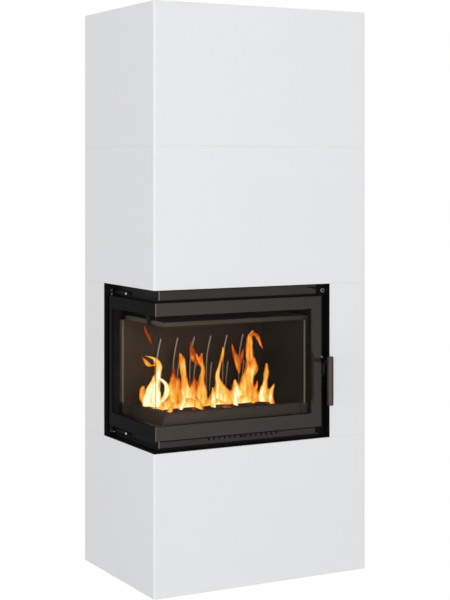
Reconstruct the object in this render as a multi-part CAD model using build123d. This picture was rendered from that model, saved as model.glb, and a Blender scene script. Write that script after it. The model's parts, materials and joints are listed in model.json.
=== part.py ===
from build123d import *
import math
import os

# Corner fireplace: a wood-burning insert with an L-shaped glass door,
# standing inside a tall surround of white boards.
# The model is drawn from the surround's front left corner:
# X runs right along the front, Y runs back towards the wall, Z is up.
# All sizes are in millimetres.

# Surround
surround_width = 928
surround_depth = 644
base_course = 533
middle_course = 600
upper_course = 533.5
board = 40
front_strip = 167.4
left_strip = 187.6
arris = 8
seam_bevel = 1.5

# Steel frame behind the boards
angle_leg = 30
angle_sheet = 3
rail_hole_radius = 4.5
rail_hole_spacing = 600
lower_rail_height = 120
upper_rail_drop = 180

# Top cover
cover_sheet = 4
cover_recess = 8
slot_length = 150
slot_width = 14
slot_pitch = 34
slot_count = 5

# Black trim round the opening
trim_sheet = 2
trim_reach = 42

# Door outline, from the edges of the opening
door_set_in = 12
door_sill_gap = 44
door_head_gap = 48.4
door_end_gap = 31.6
door_rear_gap = 10.4
glass_sheet = 4
glass_arris = 1.5
tape_sheet = 1
tape_margin = 6
tape_width = 14
border_top = 48
border_bottom = 52.5
border_end = 45.5
frame_depth = 23
frame_wall = 4
channel_margin = 15
channel_block = 17
rope_radius = 5
rope_sides = 8
rope_bend = 14
rope_corner_bend = 5.4
rope_clearance = 0.3

# Firebox body
seal_gap = 4
body_sheet = 4
body_end_gap = 11
flange_width = 30
body_back_reach = 28
body_bottom = 545
body_head_gap = 3
body_floor = 577
window_lap = 35
side_ledge = 12
hood_mouth_x = 420
hood_mouth_y = 260
hood_height = 140
hood_sheet = 3
hood_throat = 228
flue_radius = 100
flue_sheet = 2
flue_length = 80
flue_clearance = 15

# Air supply
air_radius = 62.5
air_sheet = 2
air_length = 55
air_lip = 14
shutter_sheet = 2.4
shutter_depth = 34
shutter_front = 52
port_width = 30
port_pitch = 45
port_count = 6
lever_offset = 1
lever_width = 16
lever_left = 130
shutter_left = 162
shutter_right = 93
lever_right = 155
guide_sheet = 3
slide_clearance = 0.3

# Bands and panels on the front of the body
band_sheet = 3
band_height = 38
band_end_gap = 7
band_corner = 6
panel_height = 28
panel_seam_left = 167
panel_seam_inset = 88
panel_gap = 0.6
notch_inset = 81
notch_end_inset = 87
notch_count = 14
notch_width = 7
notch_depth = 9
stile_gap = 3
stile_width = 25
bolt_reach = 20
bolt_drop = 28.5
bolt_radius = 8.75
bolt_socket = 3.4
clip_sheet = 3

# Hinge at the rear of the left side
pin_x = 26
pin_inset = 10
pin_radius = 4
run_clearance = 0.05
knuckle_radius = 9
hinge_arm_height = 11
hinge_arm_length = 136
hinge_gap_top = 9.4
hinge_gap_bottom = 12.5
pin_reach = 40
hinge_screw_inset = 13
hinge_screw_radius = 5.5

# Handle and latch at the door's right edge
barrel_reach = 16
barrel_y = 21
barrel_radius = 8
barrel_low = 780
barrel_high = 840
latch_pin_radius = 4
ear_sheet = 4
bracket_sheet = 4
bracket_depth = 13
bracket_overhang = 18
arm_height = 16
arm_sheet = 10
arm_z = 831
grip_inset = 4
grip_reach = 72.5
grip_radius = 12.5
grip_bevel = 2
grip_low = 668
grip_high = 857
hook_sheet = 8
hook_z = 803
hook_width = 8
hook_reach = 37
hook_nose = 6
latch_slot_before = 9
latch_slot_after = 22
latch_slot_height = 24

# Firebox linings
lining = 30
hearth_top = 611
lining_top = 989
back_inset = 74
right_inset = 38
filler_left = 57
filler_right = 107
right_lining_front = 56
lip_top = 660
lip_foot = 54.6
lip_lean = 45.4
lip_sheet = 25
baffle_sheet = 16
baffle_front = 80
upper_baffle_z = 1088
upper_baffle_gap = 20
hanger_sheet = 4
hanger_width = 25
hanger_y = 190
hanger_overlap = 26
hanger_gap = 8
rib_count = 6
rib_inset_left = 109
rib_inset_right = 92
rib_tip = 911
rib_shoulder = 770
rib_half_width = 22
rib_height = 18
rib_draft = 4
rib_foot = 618
inner_tip = 803
inner_shoulder = 700
inner_half_width = 10
inner_height = 8

# Logs
log_radius = 37
cross_log_radius = 29
log_end_gap = 76.5
log_front_inset = 225
log_back_inset = 100
cross_log_length = 200
cross_log_turn = 24

# Insert stand
leg_size = 40
leg_sheet = 3
leg_inset = 12
foot_radius = 28
foot_sheet = 8
stud_radius = 8
foot_travel = 45

# Places worked out from the sizes above
surround_height = base_course + middle_course + 2 * upper_course
opening_x = surround_width - front_strip
opening_y = surround_depth - left_strip
opening_low = base_course
opening_high = base_course + middle_course
door_right = opening_x - door_end_gap
door_rear = opening_y - door_rear_gap
door_low = opening_low + door_sill_gap
door_high = opening_high - door_head_gap
frame_outer = door_set_in + glass_sheet + tape_sheet
frame_inner = frame_outer + frame_depth
body_face = frame_inner + seal_gap
body_top = opening_high - body_head_gap
body_right = door_right - body_end_gap
flange_right = body_right + flange_width
body_back = door_rear + body_back_reach
flue_x = (body_face + body_right) / 2
flue_y = (body_face + body_back) / 2
hood_top = body_top + hood_height
lever_z = door_low - 0.8 - shutter_sheet
lever_rest = flue_x + lever_offset
panel_seam_right = body_right - panel_seam_inset
notch_first = panel_seam_left + notch_inset
notch_pitch = (panel_seam_right - notch_end_inset - notch_first) / (notch_count - 1)
stile_left = door_right + stile_gap
stile_right = stile_left + stile_width
bolt_x = door_right + bolt_reach
bolt_z = opening_high - bolt_drop
pin_y = door_rear - pin_inset
hinge_arm_front = pin_y - hinge_arm_length
hinge_screw_y = hinge_arm_front + hinge_screw_inset
barrel_x = door_right + barrel_reach
grip_x = door_right - grip_inset
latch_slot_left = door_right - latch_slot_before
latch_slot_right = door_right + latch_slot_after
back_face = body_back - back_inset
right_face = body_right - right_inset
upper_baffle_back = back_face - upper_baffle_gap
rib_first = filler_right + rib_inset_left
rib_pitch = (right_face - rib_inset_right - rib_first) / (rib_count - 1)
arm_front = door_set_in - grip_reach
origin_x = surround_width / 2
origin_y = (surround_depth + arm_front - grip_radius) / 2
parts_folder = "parts"


def block(x0, x1, y0, y1, z0, z1):
    """A rectangular solid between two corners."""
    centre = Pos((x0 + x1) / 2, (y0 + y1) / 2, (z0 + z1) / 2)
    return centre * Box(x1 - x0, y1 - y0, z1 - z0)


def prism(points, z0, z1):
    """A plan outline raised from one height to another."""
    outline = make_face(Polyline(*points, close=True))
    return Pos(0, 0, z0) * extrude(outline, z1 - z0)


def upright_prism(points, y0, y1):
    """An outline in X and Z, carried back from one depth to another."""
    outline = make_face(Plane.XZ * Polyline(*points, close=True))
    solid = extrude(outline, y1 - y0, dir=(0, 1, 0))
    return Pos(0, y0, 0) * solid


def rod(x, y, z0, z1, radius):
    """An upright round bar."""
    return Pos(x, y, (z0 + z1) / 2) * Cylinder(radius, z1 - z0)


def pipe(x, y, z0, z1, radius, wall):
    """An upright tube."""
    return rod(x, y, z0, z1, radius) - rod(x, y, z0 - 1, z1 + 1, radius - wall)


def bar_along_y(x, z, y0, y1, radius):
    """A round bar that runs from front to back."""
    return Pos(x, (y0 + y1) / 2, z) * Rot(90, 0, 0) * Cylinder(radius, y1 - y0)


def bar_along_x(y, z, x0, x1, radius):
    """A round bar that runs from left to right."""
    return Pos((x0 + x1) / 2, y, z) * Rot(0, 90, 0) * Cylinder(radius, x1 - x0)


def wrap(depth_out, depth_in, end, top, bottom):
    """An L-shaped slab round the front left corner, in the door's outline."""
    x_end = door_right - end
    y_end = door_rear - end
    outline = [
        (depth_out, depth_out),
        (x_end, depth_out),
        (x_end, depth_in),
        (depth_in, depth_in),
        (depth_in, y_end),
        (depth_out, y_end),
    ]
    return prism(outline, door_low + bottom, door_high - top)


def wrap_ring(depth_out, depth_in, outer, inner):
    """A slab with an L-shaped window; outer and inner are end, top, bottom insets."""
    window = wrap(depth_out - 1, depth_in + 1, *inner)
    return wrap(depth_out, depth_in, *outer) - window


def even(inset):
    """The same inset at the end, the top and the bottom."""
    return (inset, inset, inset)


def bevel_seams(board_solid, face):
    """Take the edge off a board where it meets the course above and below."""
    edges = [e for e in face.edges() if abs(e.tangent_at(0).Z) < 0.1]
    return chamfer(edges, seam_bevel)


# White boards

def front_board(x0, low, high, left_mitre):
    """A front board, mitred at the right and, on full boards, at the left."""
    right_end = [
        (surround_width - arris, 0),
        (surround_width - arris / 2, arris / 2),
        (surround_width - board, board),
    ]
    if left_mitre:
        left_end = [(board, board), (arris / 2, arris / 2), (arris, 0)]
    else:
        left_end = [(x0, board), (x0, 0)]
    solid = prism(right_end + left_end, low, high)
    return bevel_seams(solid, solid.faces().sort_by(Axis.Y)[0])


def left_board(y0, low, high, mitre):
    """A left-hand board, mitred at the front on full boards."""
    if mitre:
        front_end = [(board, board), (arris / 2, arris / 2), (0, arris)]
    else:
        front_end = [(board, y0), (0, y0)]
    rear_end = [(0, surround_depth), (board, surround_depth)]
    solid = prism(front_end + rear_end, low, high)
    return bevel_seams(solid, solid.faces().sort_by(Axis.X)[0])


def right_board(low, high):
    """A right-hand board, mitred at the front."""
    outline = [
        (surround_width - board, board),
        (surround_width - arris / 2, arris / 2),
        (surround_width, arris),
        (surround_width, surround_depth),
        (surround_width - board, surround_depth),
    ]
    solid = prism(outline, low, high)
    return bevel_seams(solid, solid.faces().sort_by(Axis.X)[-1])


def surround_boards():
    """Four courses of boards, with the door's corner left out of the second."""
    lintel_top = opening_high + upper_course
    courses = {
        "base": (0, base_course),
        "lintel": (opening_high, lintel_top),
        "top": (lintel_top, surround_height),
    }
    boards = {}
    for course, (low, high) in courses.items():
        boards[course + "_board_front"] = front_board(0, low, high, True)
        boards[course + "_board_left"] = left_board(0, low, high, True)
        boards[course + "_board_right"] = right_board(low, high)
    boards["middle_board_front"] = front_board(opening_x, opening_low, opening_high, False)
    boards["middle_board_left"] = left_board(opening_y, opening_low, opening_high, False)
    boards["middle_board_right"] = right_board(opening_low, opening_high)
    return boards


# Steel frame behind the boards

def angle_post(x, y, side_x, side_y, low, high):
    """An upright steel angle with its heel at x, y and its legs along the sides."""
    leg_x = block(*sorted((x, x + side_x * angle_leg)), *sorted((y, y + side_y * angle_sheet)), low, high)
    leg_y = block(*sorted((x, x + side_x * angle_sheet)), *sorted((y, y + side_y * angle_leg)), low, high)
    return leg_x + leg_y


def lintel_angle():
    """An L-shaped steel angle that carries the boards over the open corner."""
    low = opening_high + trim_sheet
    reach_x = surround_width - board - angle_leg
    reach_y = surround_depth - angle_leg
    inner = board + angle_leg
    wall = board + angle_sheet
    outline = [
        (board, board),
        (reach_x, board),
        (reach_x, inner),
        (inner, inner),
        (inner, reach_y),
        (board, reach_y),
    ]
    upright = [
        (board, board),
        (reach_x, board),
        (reach_x, wall),
        (wall, wall),
        (wall, reach_y),
        (board, reach_y),
    ]
    shelf = prism(outline, low, low + angle_sheet)
    return shelf + prism(upright, low, low + angle_leg)


def rear_rail(height, holes):
    """A flat rail that ties the two rear posts, with holes for the wall screws."""
    left = board + angle_sheet
    right = surround_width - board - angle_sheet
    back = surround_depth - angle_sheet
    rail = block(left, right, back - angle_sheet, back, height, height + angle_leg)
    if holes:
        for side in (-1, 1):
            x = surround_width / 2 + side * rail_hole_spacing / 2
            rail -= bar_along_y(x, height + angle_leg / 2, back - 2 * angle_sheet, back + 1, rail_hole_radius)
    return rail


def steel_frame():
    """Posts, lintel and rails."""
    left = board
    right = surround_width - board
    back = surround_depth
    cover_low = surround_height - cover_recess - cover_sheet
    lintel_low = opening_high + trim_sheet
    frame_parts = {
        "post_rear_left": angle_post(left, back, 1, -1, 0, cover_low),
        "post_rear_right": angle_post(right, back, -1, -1, 0, cover_low),
        "post_front_right": angle_post(right, board, -1, 1, 0, cover_low),
        "post_front_left_lower": angle_post(left, board, 1, 1, 0, opening_low),
        "post_front_left_upper": angle_post(
            left + angle_sheet, board + angle_sheet, 1, 1, lintel_low + angle_sheet, cover_low),
        "lintel_angle": lintel_angle(),
        "rear_rails": [
            rear_rail(lower_rail_height, False),
            rear_rail(surround_height - upper_rail_drop, True),
        ],
    }
    return frame_parts


def top_cover():
    """A sheet cover just below the rim, with slots for warm air and the flue hole."""
    low = surround_height - cover_recess - cover_sheet
    high = low + cover_sheet
    cover = block(board, surround_width - board, board, surround_depth, low, high)
    cover -= rod(flue_x, flue_y, low - 1, high + 1, flue_radius + flue_clearance)
    slot_x = surround_width - board - 60 - slot_length / 2
    slot = Rectangle(slot_length, slot_width)
    for row in range(slot_count):
        y = flue_y + (row - (slot_count - 1) / 2) * slot_pitch
        cover -= Pos(slot_x, y, low - 1) * extrude(slot, cover_sheet + 2)
    for column in range(3):
        x = surround_width / 2 + (column - 1) * (slot_length + slot_pitch)
        cover -= Pos(x, surround_depth - 60, low - 1) * extrude(slot, cover_sheet + 2)
    return cover


# Black trim

def corner_trim(low, high):
    """An L-shaped strip over the board edges that run round the open corner."""
    edge = seam_bevel
    outline = [
        (edge, edge),
        (opening_x, edge),
        (opening_x, trim_reach),
        (trim_reach, trim_reach),
        (trim_reach, opening_y),
        (edge, opening_y),
    ]
    return prism(outline, low, high)


def sill_upstand(high):
    """The sill's folded back edge, which closes the gap below the low panels."""
    back = body_face - band_sheet - slide_clearance
    front = back - trim_sheet
    end_x = opening_x - trim_sheet
    end_y = opening_y - trim_sheet
    outline = [(front, front), (end_x, front), (end_x, back), (back, back), (back, end_y), (front, end_y)]
    return prism(outline, opening_low, high)


def opening_trim():
    """The four strips that line the opening."""
    low = opening_low + trim_sheet
    high = opening_high - trim_sheet
    edge = seam_bevel
    return {
        "sill_trim": corner_trim(opening_low, low) + sill_upstand(body_bottom),
        "head_trim": corner_trim(high, opening_high),
        "jamb_trim_right": block(opening_x - trim_sheet, opening_x, edge, trim_reach, low, high),
        "jamb_trim_rear": block(edge, trim_reach, opening_y - trim_sheet, opening_y, low, high),
    }


# Firebox body

def firebox_body():
    """The welded steel shell, open at the front and left where the door closes."""
    inner = body_face + body_sheet
    shell = block(body_face, body_right, body_face, body_back, body_bottom, body_top)
    shell -= block(inner, body_right - body_sheet, inner, body_back - body_sheet,
                   body_floor + body_sheet, body_top - body_sheet)
    shell -= block(inner, body_right - body_sheet, inner, body_back - body_sheet,
                   body_bottom - 1, body_floor)
    shell -= wrap(body_face - 1, inner + 1, *even(window_lap))
    shell += block(body_right, flange_right, body_face, inner, body_bottom, body_top)
    low = hook_z - latch_slot_height / 2
    shell -= block(latch_slot_left, flange_right + 1, body_face - 1, inner + 1, low, low + latch_slot_height)
    mouth = Rectangle(hood_mouth_x - 2 * hood_sheet, hood_mouth_y - 2 * hood_sheet)
    shell -= Pos(flue_x, flue_y, body_top - body_sheet - 1) * extrude(mouth, body_sheet + 2)
    ledge_low = upper_baffle_z - body_sheet * 2
    shell += block(inner, inner + side_ledge, inner + 12, upper_baffle_back, ledge_low, upper_baffle_z)
    shell += block(body_right - body_sheet - side_ledge, body_right - body_sheet, inner + 12,
                   upper_baffle_back, ledge_low, upper_baffle_z)
    for port in range(port_count):
        x = lever_rest - lever_left - shutter_left + port * port_pitch
        shell -= block(x, x + port_width, shutter_front + 4, shutter_front + shutter_depth - 8,
                       body_floor - 1, body_floor + body_sheet + 1)
    slot_left = lever_rest - lever_left - lever_width / 2 - 1
    slot_right = lever_rest + lever_right + lever_width / 2 + 1
    shell -= block(slot_left, slot_right, body_face - 1, inner + 1,
                   lever_z - slide_clearance, lever_z + shutter_sheet + slide_clearance)
    return shell + shutter_guides()


def shutter_guides():
    """Two steel runners under the floor that carry the air shutter."""
    shelf_high = lever_z - slide_clearance
    shelf_low = shelf_high - guide_sheet
    front = shutter_front + slide_clearance
    back = shutter_front + shutter_depth + slide_clearance
    left = body_face + body_sheet
    right = body_right - body_sheet
    runner = block(left, right, back, back + guide_sheet, shelf_low, body_floor)
    runner += block(left, right, back - 4, back, shelf_low, shelf_high)
    runner += block(left, right, left, front + 2, shelf_low, shelf_high)
    return runner


def body_cover():
    """The plate that closes the air chamber below the firebox floor."""
    gap = 0.3
    inner = body_face + body_sheet + gap
    plate = block(inner, body_right - body_sheet - gap, inner, body_back - body_sheet - gap,
                  body_bottom, body_bottom + body_sheet)
    return plate - rod(flue_x, flue_y, body_bottom - 1, body_bottom + body_sheet + 1, air_radius - air_sheet)


def air_spigot():
    """The round stub for the outside air duct, on its square plate."""
    low = body_bottom - air_length
    stub = pipe(flue_x, flue_y, low, body_bottom, air_radius, air_sheet)
    half = air_radius + air_lip
    plate = block(flue_x - half, flue_x + half, flue_y - half, flue_y + half,
                  body_bottom - air_sheet, body_bottom)
    return stub + (plate - rod(flue_x, flue_y, low, body_bottom + 1, air_radius - air_sheet))


def hood_solid(inset, low, high):
    """The flat-sided taper from the rectangular mouth up to the square throat."""
    mouth = Pos(flue_x, flue_y, low) * Rectangle(hood_mouth_x - 2 * inset, hood_mouth_y - 2 * inset)
    throat = Pos(flue_x, flue_y, high) * Rectangle(hood_throat - 2 * inset, hood_throat - 2 * inset)
    return loft([mouth, throat], ruled=True)


def smoke_hood():
    """The folded sheet hood on top of the body, with a square plate that takes the flue collar."""
    hood = hood_solid(0, body_top, hood_top) - hood_solid(hood_sheet, body_top, hood_top)
    half = hood_throat / 2
    plate = block(flue_x - half, flue_x + half, flue_y - half, flue_y + half, hood_top - hood_sheet, hood_top)
    return hood + (plate - rod(flue_x, flue_y, body_top, hood_top + 1, flue_radius - flue_sheet))


def flue_collar():
    """The round collar that the flue pipe fits, welded to the hood's plate."""
    return pipe(flue_x, flue_y, hood_top, hood_top + flue_length, flue_radius, flue_sheet)


# Bands and panels on the body's front

def top_band():
    """The strip above the door, folded back at its left end."""
    low = opening_high - trim_sheet - band_height
    high = opening_high - trim_sheet - 0.3
    front = body_face - band_sheet
    strip = block(front - 1, door_right - band_end_gap, front, body_face, low, high)
    corners = strip.edges().filter_by(Axis.Y).group_by(Axis.X)[-1]
    strip = fillet(corners, band_corner)
    fold = strip.edges().filter_by(Axis.Z).group_by(Axis.X)[0].sort_by(Axis.Y)[0]
    return chamfer(fold, 1)


def front_panel(x0, x1):
    """One length of the low panel below the door."""
    high = body_floor - 4
    return block(x0, x1, body_face - band_sheet, body_face, high - panel_height, high)


def notched_panel():
    """The middle panel, with a row of V notches that marks the air setting."""
    panel = front_panel(panel_seam_left + panel_gap, panel_seam_right - panel_gap)
    high = body_floor - 4
    half = notch_width / 2
    for notch in range(notch_count):
        x = notch_first + notch * notch_pitch
        outline = [(x - half, high + 1), (x + half, high + 1), (x, high - notch_depth)]
        panel -= upright_prism(outline, body_face - band_sheet - 1, body_face + 1)
    return panel


def latch_stile():
    """The upright strip right of the door, with the slot for the latch hook."""
    low = opening_low + trim_sheet + 6
    high = opening_high - trim_sheet - 2
    strip = block(stile_left, stile_right, body_face - band_sheet, body_face, low, high)
    slot_low = hook_z - latch_slot_height / 2
    strip -= block(latch_slot_left, latch_slot_right, body_face - band_sheet - 1, body_face + 1,
                   slot_low, slot_low + latch_slot_height)
    return strip


def stile_bolt():
    """The round bolt at the top of the stile, with its socket."""
    clip_face = body_face - band_sheet - clip_sheet
    head = bar_along_y(bolt_x, bolt_z, clip_face - 5, clip_face, bolt_radius)
    rim = head.edges().filter_by(GeomType.CIRCLE).sort_by(Axis.Y)[0]
    head = chamfer(rim, 1.2)
    socket = Pos(bolt_x, clip_face - 2, bolt_z) * Rot(90, 0, 0) * extrude(RegularPolygon(bolt_socket, 6), 4)
    return head - socket


def band_clip():
    """The black spring clip under the bolt, curving left over the band."""
    front = body_face - band_sheet - clip_sheet
    tip = (bolt_x - 78, bolt_z + 15)
    upper = ThreePointArc((bolt_x, bolt_z + 5), (bolt_x - 38, bolt_z + 15), tip)
    lower = ThreePointArc((bolt_x, bolt_z - 5), (bolt_x - 36, bolt_z + 7), tip)
    start = Line((bolt_x, bolt_z - 5), (bolt_x, bolt_z + 5))
    outline = make_face(Plane.XZ * Curve([upper, lower, start]))
    blade = Pos(0, front, 0) * extrude(outline, clip_sheet, dir=(0, 1, 0))
    return blade + bar_along_y(bolt_x, bolt_z, front, front + clip_sheet, bolt_radius - 1)


# Hinges

def hinge_arm(low, knuckle_high):
    """A bar on the body's side that ends in a knuckle for the hinge pin."""
    high = low + hinge_arm_height
    bar_left = pin_x + knuckle_radius - 2
    arm = block(bar_left, body_face, hinge_arm_front, pin_y + knuckle_radius, low, high)
    nose = arm.edges().filter_by(Axis.Z).group_by(Axis.Y)[0]
    arm = chamfer(nose.sort_by(Axis.X)[0], 4)
    arm += rod(pin_x, pin_y, low, knuckle_high, knuckle_radius)
    return arm - rod(pin_x, pin_y, low - 1, knuckle_high + 1, pin_radius + run_clearance)


def hinge_arms():
    """The upper arm, and the lower one whose tall knuckle carries the door."""
    upper_low = door_high + hinge_gap_top
    lower_low = door_low - hinge_gap_bottom - hinge_arm_height
    upper = hinge_arm(upper_low, upper_low + hinge_arm_height)
    return [upper, hinge_arm(lower_low, door_low - slide_clearance)]


def hinge_pins():
    """The upper and lower pins, each with a flat head outside its knuckle."""
    upper_high = door_high + hinge_gap_top + hinge_arm_height
    lower_low = door_low - hinge_gap_bottom - hinge_arm_height
    head = 3
    upper = rod(pin_x, pin_y, door_high - pin_reach, upper_high, pin_radius)
    upper += rod(pin_x, pin_y, upper_high, upper_high + head, pin_radius + 3)
    lower = rod(pin_x, pin_y, lower_low, door_low + pin_reach, pin_radius)
    lower += rod(pin_x, pin_y, lower_low - head, lower_low, pin_radius + 3)
    return [upper, lower]


def hinge_screws():
    """The bright screws at the front ends of the two hinge arms."""
    face = pin_x + knuckle_radius - 2
    heads = []
    for z in (door_high + hinge_gap_top, door_low - hinge_gap_bottom - hinge_arm_height):
        centre = z + hinge_arm_height / 2
        head = bar_along_x(hinge_screw_y, centre, face - 4, face, hinge_screw_radius)
        rim = head.edges().filter_by(GeomType.CIRCLE).sort_by(Axis.X)[0]
        heads.append(chamfer(rim, 1))
    return heads


# Door

def seal_path():
    """The closed line of the door's rope seal, round both sides of the corner."""
    depth = body_face - rope_radius - rope_clearance
    inset = channel_margin + channel_block / 2
    x_end = door_right - inset
    y_end = door_rear - inset
    low = door_low + inset
    high = door_high - inset
    points = [
        (x_end, depth, low),
        (x_end, depth, high),
        (depth, depth, high),
        (depth, y_end, high),
        (depth, y_end, low),
        (depth, depth, low),
    ]
    bends = [rope_bend, rope_bend, rope_corner_bend, rope_bend, rope_bend, rope_corner_bend]
    return FilletPolyline(*points, radius=bends, close=True)


def seal_rope(radius):
    """An eight-sided rope along the seal's line, flattened where it meets the body."""
    path = seal_path()
    start = Plane(origin=path @ 0, x_dir=(0, 1, 0), z_dir=path % 0)
    section = RegularPolygon(radius, rope_sides, major_radius=False, rotation=180 / rope_sides)
    return sweep(start * section, path=path)


def door_frame():
    """The L-shaped door frame behind the glass, with its rope channel and pin bosses."""
    web_inner = frame_outer + frame_wall
    window = (border_end, border_top, border_bottom)
    wall = (border_end - frame_wall, border_top - frame_wall, border_bottom - frame_wall)
    channel_end = channel_margin + channel_block
    frame = wrap_ring(frame_outer, web_inner, even(0), window)
    frame += wrap_ring(frame_outer, frame_inner, even(0), even(frame_wall))
    frame += wrap_ring(frame_outer, frame_inner, wall, window)
    frame += wrap_ring(frame_outer, frame_inner, even(channel_margin), even(channel_end))
    boss_front = pin_y - knuckle_radius + 3
    for low, high in ((door_low, door_low + pin_reach + 6), (door_high - pin_reach - 6, door_high)):
        frame += block(frame_outer, frame_inner, boss_front, door_rear, low, high)
    frame -= seal_rope(rope_radius + rope_clearance)
    frame -= rod(pin_x, pin_y, door_low - 1, door_low + pin_reach + 2, pin_radius + run_clearance)
    frame -= rod(pin_x, pin_y, door_high - pin_reach - 2, door_high + 1, pin_radius + run_clearance)
    return frame


def front_glass():
    """The front pane, mitred and bevelled at the corner."""
    near = door_set_in
    far = door_set_in + glass_sheet
    bevel = near + glass_arris
    outline = [(bevel, near), (door_right, near), (door_right, far), (far, far),
               (near + glass_arris / 2, near + glass_arris / 2)]
    return prism(outline, door_low, door_high)


def side_glass():
    """The side pane, mitred and bevelled at the corner."""
    near = door_set_in
    far = door_set_in + glass_sheet
    bevel = near + glass_arris
    outline = [(near, bevel), (near + glass_arris / 2, near + glass_arris / 2), (far, far),
               (far, door_rear), (near, door_rear)]
    return prism(outline, door_low, door_high)


def glass_tape():
    """The flat tape that beds the glass on the frame."""
    depth = door_set_in + glass_sheet
    return wrap_ring(depth, depth + tape_sheet, even(tape_margin), even(tape_margin + tape_width))


def latch_bracket():
    """The forked bracket on the door's edge, with its fixed pin for the handle."""
    plate_left = door_right
    plate_right = door_right + bracket_sheet
    low = barrel_low - bracket_overhang
    high = barrel_high + bracket_overhang
    bracket = block(plate_left, plate_right, frame_outer, frame_outer + bracket_depth, low, high)
    for z in (barrel_low - ear_sheet, barrel_high):
        ear = block(plate_right, barrel_x, barrel_y - barrel_radius, barrel_y + barrel_radius,
                    z, z + ear_sheet)
        ear += rod(barrel_x, barrel_y, z, z + ear_sheet, barrel_radius)
        bracket += ear
    pin_low = barrel_low - ear_sheet - 2.5
    pin_high = barrel_high + ear_sheet + 2.5
    return bracket + rod(barrel_x, barrel_y, pin_low, pin_high, latch_pin_radius)


def handle_lever():
    """The barrel, the arm that reaches forward and the ramped hook behind."""
    low = barrel_low + slide_clearance
    high = barrel_high - slide_clearance
    lever = rod(barrel_x, barrel_y, low, high, barrel_radius)
    run = barrel_y - arm_front
    shift = (barrel_x - grip_x) / run
    half = arm_sheet / 2
    tail = grip_radius * 0.6
    front_x = grip_x + shift * tail
    outline = [
        (barrel_x - half, barrel_y),
        (front_x - half, arm_front + tail),
        (front_x + half, arm_front + tail),
        (barrel_x + half, barrel_y),
    ]
    lever += prism(outline, arm_z - arm_height / 2, arm_z + arm_height / 2)
    lever += latch_hook()
    return lever - rod(barrel_x, barrel_y, low - 1, high + 1, latch_pin_radius + run_clearance)


def latch_hook():
    """A hook whose nose slopes along the door's swing, so it slides behind the stile."""
    half = hook_width / 2
    left = barrel_x - half
    right = barrel_x + half
    back = barrel_y + hook_reach
    nose_x = right + hook_nose
    swing_slope = (nose_x - pin_x) / (pin_y - back)
    ramp_front = back - 2 - hook_nose * swing_slope
    outline = [
        (left, barrel_y),
        (right, barrel_y),
        (right, ramp_front),
        (nose_x, back - 2),
        (nose_x, back),
        (left, back),
    ]
    return prism(outline, hook_z - hook_sheet / 2, hook_z + hook_sheet / 2)


def handle_grip():
    """The upright round grip, with the pocket that takes the arm."""
    grip = rod(grip_x, arm_front, grip_low, grip_high, grip_radius)
    ends = grip.edges().filter_by(GeomType.CIRCLE)
    grip = chamfer(ends, grip_bevel)
    return grip - handle_lever()


# Air control

def air_slide():
    """The shutter below the floor ports, with its blade and pointed finger tab in front."""
    shutter = block(lever_rest - shutter_left, lever_rest + shutter_right, shutter_front,
                    shutter_front + shutter_depth, lever_z, lever_z + shutter_sheet)
    half = lever_width / 2
    tab_back = body_face - band_sheet - 2
    tab_front = tab_back - 4
    high = lever_z + shutter_sheet
    blade = block(lever_rest - half, lever_rest + half, tab_front, shutter_front, lever_z, high)
    outline = [
        (lever_rest - 17, high),
        (lever_rest + 17, high),
        (lever_rest + 15, high - 8),
        (lever_rest + 12, high - 20),
        (lever_rest + 3, high - 9),
        (lever_rest - 15, high - 7),
    ]
    return shutter + blade + upright_prism(outline, tab_front, tab_back)


# Firebox linings

def lancet(centre, foot, tip, shoulder, half_width):
    """A pointed arch outline: two long arcs that meet at the tip."""
    rise = tip - shoulder
    radius = (rise ** 2 + half_width ** 2) / (2 * half_width)
    turn = math.asin(rise / radius) / 2
    mid_x = half_width - radius + radius * math.cos(turn)
    mid_z = shoulder + radius * math.sin(turn)
    right_arc = ThreePointArc((centre + half_width, shoulder), (centre + mid_x, mid_z), (centre, tip))
    left_arc = ThreePointArc((centre, tip), (centre - mid_x, mid_z), (centre - half_width, shoulder))
    sides = Polyline((centre - half_width, shoulder), (centre - half_width, foot),
                     (centre + half_width, foot), (centre + half_width, shoulder))
    return make_face(Plane.XZ * Curve([right_arc, left_arc, sides]))


def raised_lancet(face, y, height):
    """A lancet raised forward from a lining's face, with moulded draft."""
    return Pos(0, y, 0) * extrude(face, height, dir=(0, -1, 0), taper=rib_draft)


def back_lining():
    """The rear lining with its row of two-step pointed ribs."""
    slab = block(filler_right, right_face, back_face, back_face + lining,
                 body_floor + body_sheet, lining_top)
    for rib in range(rib_count):
        centre = rib_first + rib * rib_pitch
        outer = lancet(centre, rib_foot, rib_tip, rib_shoulder, rib_half_width)
        inner = lancet(centre, rib_foot, inner_tip, inner_shoulder, inner_half_width)
        slab += raised_lancet(outer, back_face, rib_height)
        slab += raised_lancet(inner, back_face - rib_height, inner_height)
    return slab


def lip(along_front):
    """One leaning log lip, mitred where the two meet at the corner."""
    low = body_floor + body_sheet
    foot = lip_foot
    section = [
        (foot, low),
        (foot + lip_sheet, low),
        (foot + lip_lean + lip_sheet, lip_top),
        (foot + lip_lean, lip_top),
    ]
    face = make_face(Plane.YZ * Polyline(*section, close=True))
    far = right_face - slide_clearance
    front = extrude(face, far, dir=(1, 0, 0))
    corner = prism([(0, 0), (far + 1, 0), (far + 1, far + 1)], low - 1, lip_top + 1)
    front = front & corner
    if along_front:
        return front
    side_end = back_face - slide_clearance
    side = mirror(front, about=Plane(origin=(0, 0, 0), z_dir=(1, -1, 0)))
    return side & block(0, far + 1, 0, side_end, low - 1, lip_top + 1)


def hearth_slab():
    """The flat hearth between the lips and the linings."""
    edge = lip_foot + lip_sheet + lip_lean * (hearth_top - body_floor - body_sheet) / (
        lip_top - body_floor - body_sheet) + slide_clearance
    return block(edge, right_face - slide_clearance, edge, back_face - rib_height - inner_height - 1,
                 body_floor + body_sheet, hearth_top)


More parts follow.
